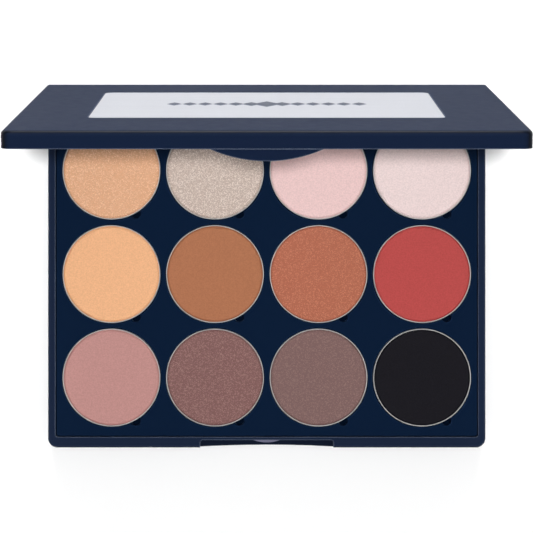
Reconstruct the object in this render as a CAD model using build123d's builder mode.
from build123d import *

import os
from math import asin, cos, degrees, radians, sin, sqrt

# Refillable eyeshadow palette: a moulded base with twelve magnet-held pans and a hinged lid.
#
# Frame: millimetres, +Z up, +X to the right, the front (thumb) edge towards -Y, the hinge at +Y.
# The origin is the middle of the flat face that the base rests on. The pieces of the lid are
# drawn closed, where they line up with the base, and are then swung open about the hinge axis.

# ---- Driving dimensions: pans and wells ----------------------------------------------------
pan_diameter = 26.0  # the usual size of a round refill pan
pan_pitch = 27.6  # centre to centre, both ways
pan_sheet = 0.2
pan_bottom_radius = 0.3
pan_proud = 0.25  # how far a pan's rim stands above the tray
last_row_y = 25.5  # the row of wells nearest the hinge
colours = [
    ["peach_gold", "champagne", "blush_pink", "ivory_rose"],
    ["apricot", "caramel", "copper", "coral_red"],
    ["dusty_rose", "plum_brown", "taupe", "black"],
]

well_clearance = 0.2
well_wall = 0.8
well_floor_top = 3.8
well_floor = 0.8
notch_radius = 1.3
notch_angle = -60.6  # seen from above, measured from +X

powder_gap = 0.02
powder_below_rim = 0.15
powder_bevel = 0.4

# ---- Driving dimensions: base and tray -----------------------------------------------------
base_width = 116.6
base_depth = 96.7
base_height = 8.0
corner_radius = 2.5
rim_radius = 0.6
foot_radius = 1.0
floor_thickness = 1.2
side_wall = 2.0
front_wall = 2.85
cavity_back = 40.4
cavity_corner = 0.6

seam = 0.2  # gap round the tray
tray_top = 7.5
tray_plate = 1.2
tray_skirt = 1.0
tray_edge = 0.25
magnet_radius = 6.0
magnet_thickness = 1.5
collar_gap = 0.1
collar_wall = 0.8
collar_height = 1.1
post_radius = 1.5

recess_width = 35.6
recess_depth = 2.05
recess_floor = 4.6
recess_corner = 0.8
scoop_chord = 36.4
scoop_sagitta = 0.5
bead_width = 7.5
bead_depth = 0.7
bead_bottom = 6.6
bead_height = 0.8

# ---- Driving dimensions: lid ---------------------------------------------------------------
parting_gap = 0.15
side_overhang = 0.5  # how far the lid stands proud of the base
front_overhang = 0.3
lid_height = 4.1
lid_roof = 1.5
lid_edge_radius = 1.1
lid_opening = 78.5  # degrees from closed, as modelled

tab_chord = 25.4
tab_drop = 2.75
tab_thickness = 0.9
tab_setback = 0.35
ridge_width = 6.0
ridge_bottom = 5.7
ridge_height = 0.7
ridge_depth = 0.5

plate_width = 82.6
plate_length = 51.4
plate_thickness = 0.4
plate_corner = 1.5
plate_gap = 0.15
plate_recess = 0.4  # so the plate stands a little proud of the lid
plate_film = 0.1

mirror_width = 100.0
mirror_length = 76.0
mirror_thickness = 1.3
mirror_corner = 2.0
mirror_film = 0.2
frame_gap = 0.2
frame_wall = 1.0
frame_height = 1.1

# ---- Driving dimensions: hinge -------------------------------------------------------------
back_radius = 4.25  # the lid's rounded back, about the hinge axis
trough_gap = 0.2
stop_angle = 110.0  # the opening at which the lid meets the base
back_lip_drop = 2.6  # the top of the base's back lip, below the axis
bar_radius = 2.2
bar_gap = 0.2
bar_half_length = 50.0
bar_web = 2.4  # how far in front of the axis the bar joins the roof
ear_inner = 50.2
ear_outer = 57.6
ear_radius = 2.6
ear_gap = 0.25
ear_end_gap = 0.2
pin_radius = 0.8
pin_inner_end = 45.4
pin_outer_end = 57.4
running_gap = 0.05

# ---- Worked out from them ------------------------------------------------------------------
base_front = -base_depth / 2
base_back = base_depth / 2
hinge_y = base_back - back_radius
hinge_z = base_height
trough_radius = back_radius + trough_gap
# The lid's heel starts this far round from the back, because of the parting gap.
heel_angle = degrees(asin(parting_gap / back_radius))
trough_angle = stop_angle - heel_angle

cavity_front = base_front + front_wall
cavity_width = base_width - 2 * side_wall
cavity_length = cavity_back - cavity_front
cavity_middle = (cavity_back + cavity_front) / 2

pan_radius = pan_diameter / 2
pan_top = tray_top + pan_proud
well_radius = pan_radius + well_clearance
cup_radius = well_radius + well_wall
cup_bottom = well_floor_top - well_floor
plate_underside = tray_top - tray_plate
magnet_bottom = cup_bottom - magnet_thickness
powder_radius = pan_radius - pan_sheet - powder_gap
powder_bottom = well_floor_top + pan_sheet
powder_top = pan_top - powder_below_rim

column_x = [(column - 1.5) * pan_pitch for column in range(4)]
row_y = [last_row_y - row * pan_pitch for row in range(3)]
wells = [(x, y) for y in row_y for x in column_x]
notches = [
    (
        x + well_radius * cos(radians(notch_angle)),
        y + well_radius * sin(radians(notch_angle)),
    )
    for x, y in wells
]
posts = [
    (x + pan_pitch / 2, y - pan_pitch / 2) for y in row_y[:-1] for x in column_x[:-1]
]

recess_wall = base_front + recess_depth

lid_bottom = base_height + parting_gap
lid_top = lid_bottom + lid_height
lid_ceiling = lid_top - lid_roof
lid_width = base_width + 2 * side_overhang
lid_front = base_front - front_overhang
lid_middle = (lid_front + base_back) / 2
lid_cavity_back = hinge_y - bar_web
lid_cavity_length = lid_cavity_back - cavity_front
lid_cavity_middle = (lid_cavity_back + cavity_front) / 2
plate_floor = lid_top - plate_recess
tab_front = lid_front + tab_setback
tab_back = tab_front + tab_thickness

hinge_axis = Axis((0, hinge_y, hinge_z), (1, 0, 0))
# A section plane across the hinge: its x runs to the back, its y runs up, its normal is +X.
hinge_plane = Plane((0, hinge_y, hinge_z), x_dir=(0, 1, 0), z_dir=(1, 0, 0))


def arc_radius(chord, sagitta):
    """The radius of the circle with this chord and this rise."""
    return (chord**2 / 4 + sagitta**2) / (2 * sagitta)


def on_hinge(angle, radius):
    """A point on the hinge section, at an angle in degrees up from the back."""
    return (radius * cos(radians(angle)), radius * sin(radians(angle)))


def swing_open(part):
    """Turns a piece of the closed lid to the opening that it is modelled at."""
    return part.rotate(hinge_axis, -lid_opening)


def write(part, name):
    """Labels a finished piece and writes its STEP file."""
    part.label = name
    export_step(part, f"parts/{name}.step")


os.makedirs("parts", exist_ok=True)

# ---- Base shell ----------------------------------------------------------------------------
with BuildPart() as base_shell:
    with BuildSketch():
        RectangleRounded(base_width, base_depth, corner_radius)
    extrude(amount=base_height)
    fillet(base_shell.faces().sort_by(Axis.Z)[0].edges(), radius=foot_radius)
    fillet(base_shell.faces().sort_by(Axis.Z)[-1].edges(), radius=rim_radius)

    # Space for the tray.
    with BuildSketch(Plane.XY.offset(floor_thickness)):
        with Locations((0, cavity_middle)):
            RectangleRounded(cavity_width, cavity_length, cavity_corner)
    extrude(amount=base_height, mode=Mode.SUBTRACT)

    # Posts that hold the tray up between its wells.
    with BuildSketch(Plane.XY.offset(floor_thickness)):
        with Locations(*posts):
            Circle(post_radius)
    extrude(amount=plate_underside - floor_thickness)

    # Trough for the lid's rounded back, ending in the face that stops the lid.
    with BuildSketch(hinge_plane):
        with BuildLine():
            Line((0, 0), (trough_radius, 0))
            CenterArc((0, 0), trough_radius, 0, -trough_angle)
            Line(on_hinge(-trough_angle, trough_radius), (0, 0))
        make_face()
    extrude(amount=base_width, both=True, mode=Mode.SUBTRACT)

    # The thin top of the back lip is trimmed off, where the open lid leans back.
    with BuildSketch(hinge_plane):
        with Locations((0, -back_lip_drop)):
            Rectangle(base_depth, base_height, align=(Align.MIN, Align.MIN))
    extrude(amount=base_width, both=True, mode=Mode.SUBTRACT)

    # Round clearance for the lid's hinge bar, between the ears.
    with BuildSketch(hinge_plane):
        Circle(bar_radius + bar_gap)
    extrude(amount=ear_inner, both=True, mode=Mode.SUBTRACT)

    # Ears that hold the pins.
    for side in (-1, 1):
        with BuildSketch(hinge_plane.offset(side * (ear_inner + ear_outer) / 2)):
            Circle(ear_radius)
        extrude(amount=(ear_outer - ear_inner) / 2, both=True)
    with BuildSketch(hinge_plane):
        Circle(pin_radius)
    extrude(amount=base_width, both=True, mode=Mode.SUBTRACT)

    # Recess in the front rim for the lid's tab.
    with BuildSketch(Plane.XY.offset(recess_floor)) as recess:
        with Locations((0, recess_wall)):
            Rectangle(recess_width, 4 * recess_depth, align=(Align.CENTER, Align.MAX))
        fillet(recess.vertices().group_by(Axis.Y)[-1], radius=recess_corner)
    extrude(amount=base_height, mode=Mode.SUBTRACT)

    # Shallow scoop for the thumb, down the whole front.
    with BuildSketch() as scoop:
        with Locations((0, base_front + scoop_sagitta - arc_radius(scoop_chord, scoop_sagitta))):
            Circle(arc_radius(scoop_chord, scoop_sagitta))
    extrude(amount=base_height, mode=Mode.SUBTRACT)

    # Catch bead on the wall of the recess.
    with BuildSketch(Plane.XY.offset(bead_bottom)):
        with BuildLine():
            Line((bead_width / 2, recess_wall), (-bead_width / 2, recess_wall))
            ThreePointArc(
                (-bead_width / 2, recess_wall),
                (0, recess_wall - bead_depth),
                (bead_width / 2, recess_wall),
            )
        make_face()
    extrude(amount=bead_height)
write(base_shell.part, "base_shell")

# ---- Tray ----------------------------------------------------------------------------------
tray_width = cavity_width - 2 * seam
tray_length = cavity_length - 2 * seam

with BuildPart() as inner_tray:
    # Top plate with its skirt.
    with BuildSketch(Plane.XY.offset(floor_thickness)):
        with Locations((0, cavity_middle)):
            RectangleRounded(tray_width, tray_length, cavity_corner)
    extrude(amount=tray_top - floor_thickness)
    with BuildSketch(Plane.XY.offset(floor_thickness)):
        with Locations((0, cavity_middle)):
            Rectangle(tray_width - 2 * tray_skirt, tray_length - 2 * tray_skirt)
    extrude(amount=plate_underside - floor_thickness, mode=Mode.SUBTRACT)

    # Cups, their notches' own cups, and the collars that locate the magnets.
    with BuildSketch(Plane.XY.offset(cup_bottom)):
        with Locations(*wells):
            Circle(cup_radius)
        with Locations(*notches):
            Circle(notch_radius + well_wall)
    extrude(amount=plate_underside - cup_bottom)
    with BuildSketch(Plane.XY.offset(cup_bottom)):
        with Locations(*wells):
            Circle(magnet_radius + collar_gap + collar_wall)
        with Locations(*wells):
            Circle(magnet_radius + collar_gap, mode=Mode.SUBTRACT)
    extrude(amount=-collar_height)

    # Wells and notches.
    with BuildSketch(Plane.XY.offset(well_floor_top)):
        with Locations(*wells):
            Circle(well_radius)
        with Locations(*notches):
            Circle(notch_radius)
    extrude(amount=tray_top, mode=Mode.SUBTRACT)
    fillet(inner_tray.faces().sort_by(Axis.Z)[-1].edges(), radius=tray_edge)
write(inner_tray.part, "inner_tray")

with BuildPart() as pan_magnets:
    with BuildSketch(Plane.XY.offset(magnet_bottom)):
        with Locations(*wells):
            Circle(magnet_radius)
    extrude(amount=magnet_thickness)
write(pan_magnets.part, "pan_magnets")

# ---- Refills: a pressed pan and its powder cake, one pair for each well --------------------
for row, y in enumerate(row_y):
    for column, x in enumerate(column_x):
        colour = colours[row][column]

        with BuildPart() as pan:
            with BuildSketch(Plane.XY.offset(well_floor_top)):
                with Locations((x, y)):
                    Circle(pan_radius)
            extrude(amount=pan_top - well_floor_top)
            fillet(pan.faces().sort_by(Axis.Z)[0].edges(), radius=pan_bottom_radius)
            with BuildSketch(Plane.XY.offset(powder_bottom)):
                with Locations((x, y)):
                    Circle(pan_radius - pan_sheet)
            extrude(amount=pan_top, mode=Mode.SUBTRACT)
        write(pan.part, f"pan_{colour}")

        with BuildPart() as powder:
            with BuildSketch(Plane.XY.offset(powder_bottom)):
                with Locations((x, y)):
                    Circle(powder_radius)
            extrude(amount=powder_top - powder_bottom)
            chamfer(powder.faces().sort_by(Axis.Z)[-1].edges(), length=powder_bevel)
        write(powder.part, f"powder_{colour}")

# ---- Hinge pins ----------------------------------------------------------------------------
for side, name in ((-1, "hinge_pin_left"), (1, "hinge_pin_right")):
    with BuildPart() as hinge_pin:
        with BuildSketch(hinge_plane.offset(side * (pin_inner_end + pin_outer_end) / 2)):
            Circle(pin_radius)
        extrude(amount=(pin_outer_end - pin_inner_end) / 2, both=True)
    write(hinge_pin.part, name)

# ---- Lid shell -----------------------------------------------------------------------------
with BuildPart() as lid_shell:
    # Section of the closed lid: flat, with a back that is round about the hinge axis.
    bottom = lid_bottom - hinge_z
    top = lid_top - hinge_z
    front = lid_front - hinge_y
    heel = (sqrt(back_radius**2 - bottom**2), bottom)
    with BuildSketch(hinge_plane):
        with BuildLine():
            Polyline(heel, (front, bottom), (front, top), (0, top))
            ThreePointArc((0, top), on_hinge(45, back_radius), heel)
        make_face()
    extrude(amount=lid_width / 2, both=True)
    fillet(
        lid_shell.edges().filter_by(Axis.Z).group_by(Axis.Y)[0], radius=corner_radius
    )
    rounded_back = lid_shell.edges().filter_by(GeomType.CIRCLE).group_by(Axis.Y)[-1]
    top_edges = lid_shell.faces().sort_by(Axis.Z)[-1].edges()
    fillet(
        top_edges.sort_by(Axis.Y)[:-1] + rounded_back,
        radius=lid_edge_radius,
    )

    # Hollow for the mirror, in front of the hinge bar.
    with BuildSketch(Plane.XY.offset(lid_bottom)):
        with Locations((0, lid_cavity_middle)):
            RectangleRounded(cavity_width, lid_cavity_length, cavity_corner)
    extrude(amount=lid_ceiling - lid_bottom, mode=Mode.SUBTRACT)

    # Hinge bar: a round bar about the axis, carried on a web from the roof.
    with BuildSketch(hinge_plane):
        Circle(bar_radius)
        Rectangle(bar_radius, lid_ceiling - hinge_z, align=(Align.MAX, Align.MIN))
    extrude(amount=bar_half_length, both=True)

    # Room for the base's ears at both ends, and the bore for the pins.
    for side in (-1, 1):
        pocket_end = ear_outer + ear_end_gap
        with BuildSketch(hinge_plane.offset(side * (bar_half_length + pocket_end) / 2)):
            Circle(ear_radius + ear_gap)
        extrude(amount=(pocket_end - bar_half_length) / 2, both=True, mode=Mode.SUBTRACT)
    with BuildSketch(hinge_plane):
        Circle(pin_radius + running_gap)
    extrude(amount=lid_width, both=True, mode=Mode.SUBTRACT)

    # Recess for the metal plate.
    with BuildSketch(Plane.XY.offset(plate_floor)):
        with Locations((0, lid_middle)):
            RectangleRounded(
                plate_width + 2 * plate_gap,
                plate_length + 2 * plate_gap,
                plate_corner + plate_gap,
            )
    extrude(amount=plate_recess, mode=Mode.SUBTRACT)

    # Frame that locates the mirror.
    with BuildSketch(Plane.XY.offset(lid_ceiling)):
        with Locations((0, lid_cavity_middle)):
            RectangleRounded(
                mirror_width + 2 * (frame_gap + frame_wall),
                mirror_length + 2 * (frame_gap + frame_wall),
                mirror_corner + frame_gap + frame_wall,
            )
            RectangleRounded(
                mirror_width + 2 * frame_gap,
                mirror_length + 2 * frame_gap,
                mirror_corner + frame_gap,
                mode=Mode.SUBTRACT,
            )
    extrude(amount=-frame_height)

    # Thumb tab: a thin segment of a disc that hangs from the front wall.
    tab_plane = Plane((0, tab_front, lid_bottom), x_dir=(1, 0, 0), z_dir=(0, -1, 0))
    with BuildSketch(tab_plane):
        with BuildLine():
            Line((tab_chord / 2, 0), (-tab_chord / 2, 0))
            ThreePointArc((-tab_chord / 2, 0), (0, -tab_drop), (tab_chord / 2, 0))
        make_face()
    extrude(amount=-tab_thickness)

    # Catch ridge on the back of the tab, which snaps under the base's bead.
    with BuildSketch(Plane.XY.offset(ridge_bottom)):
        with BuildLine():
            Line((ridge_width / 2, tab_back), (-ridge_width / 2, tab_back))
            ThreePointArc(
                (-ridge_width / 2, tab_back),
                (0, tab_back + ridge_depth),
                (ridge_width / 2, tab_back),
            )
        make_face()
    extrude(amount=ridge_height)
write(swing_open(lid_shell.part), "lid_shell")

# ---- Plate and mirror, each on its film of adhesive ----------------------------------------
with BuildPart() as plate_adhesive:
    with BuildSketch(Plane.XY.offset(plate_floor)):
        with Locations((0, lid_middle)):
            RectangleRounded(plate_width, plate_length, plate_corner)
    extrude(amount=plate_film)
write(swing_open(plate_adhesive.part), "plate_adhesive")

with BuildPart() as lid_plate:
    with BuildSketch(Plane.XY.offset(plate_floor + plate_film)):
        with Locations((0, lid_middle)):
            RectangleRounded(plate_width, plate_length, plate_corner)
    extrude(amount=plate_thickness)
write(swing_open(lid_plate.part), "lid_plate")

with BuildPart() as mirror_adhesive:
    with BuildSketch(Plane.XY.offset(lid_ceiling - mirror_film)):
        with Locations((0, lid_cavity_middle)):
            RectangleRounded(mirror_width, mirror_length, mirror_corner)
    extrude(amount=mirror_film)
write(swing_open(mirror_adhesive.part), "mirror_adhesive")

with BuildPart() as mirror:
    with BuildSketch(Plane.XY.offset(lid_ceiling - mirror_film - mirror_thickness)):
        with Locations((0, lid_cavity_middle)):
            RectangleRounded(mirror_width, mirror_length, mirror_corner)
    extrude(amount=mirror_thickness)
write(swing_open(mirror.part), "mirror")
